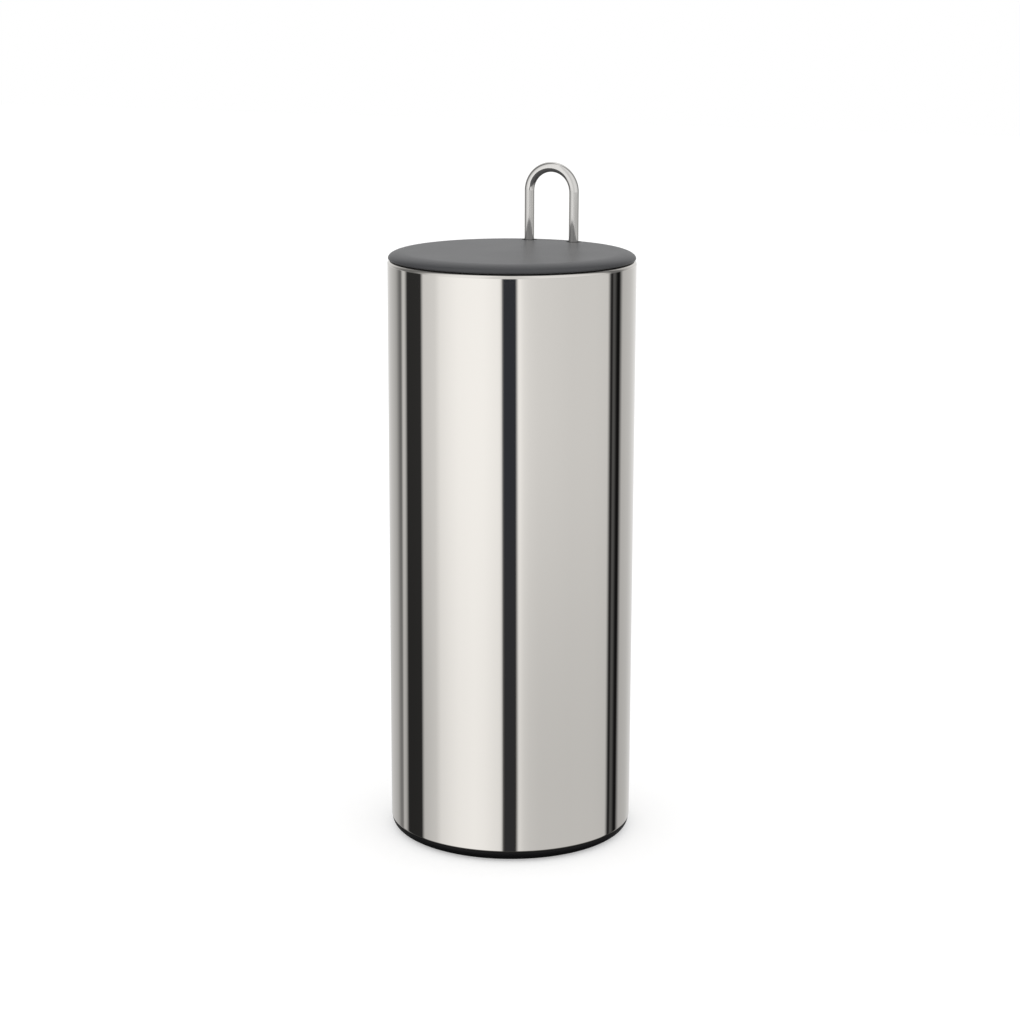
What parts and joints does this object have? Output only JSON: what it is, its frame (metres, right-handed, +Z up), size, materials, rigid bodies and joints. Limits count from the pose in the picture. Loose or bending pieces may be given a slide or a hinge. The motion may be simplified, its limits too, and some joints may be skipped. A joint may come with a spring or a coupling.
{
  "type": "toilet roll storage canister",
  "caption": "Tall polished steel canister for spare toilet rolls, with a grey lid, a looped handle and a carrier that lifts out.",
  "frame": {"origin": "on the floor, at the middle of the base", "axes": "+Z up along the canister's axis; the handle loop stands towards +Y and the front is -Y; +X is to the right seen from the front"},
  "size_m": [0.145, 0.145, 0.3965],
  "materials": {
    "polished_steel": "mirror-polished stainless steel",
    "rod_steel": "satin-polished stainless steel rod",
    "fastener_steel": "plain bright steel",
    "lid_plastic": "satin dark grey moulding",
    "inner_plastic": "matt dark grey moulding",
    "base_plastic": "satin black moulding",
    "soft_rubber": "matt black soft rubber"
  },
  "bodies": {
    "canister": {"steel_sleeve": "polished_steel", "base_moulding": "base_plastic", "non_slip_ring": "soft_rubber"},
    "carrier": {"handle_rod": "rod_steel", "lid_cover": "lid_plastic", "lid_liner": "inner_plastic", "lid_screws": "fastener_steel", "leg_bushes": "soft_rubber", "leg_clips": "fastener_steel", "platter": "inner_plastic", "platter_pads": "soft_rubber", "leg_screws": "fastener_steel"}
  },
  "joints": [
    {"name": "carrier_lift", "type": "slide", "parent": "canister", "child": "carrier", "axis": [0, 0, 1], "range_m": [0, 0.35]}
  ]
}
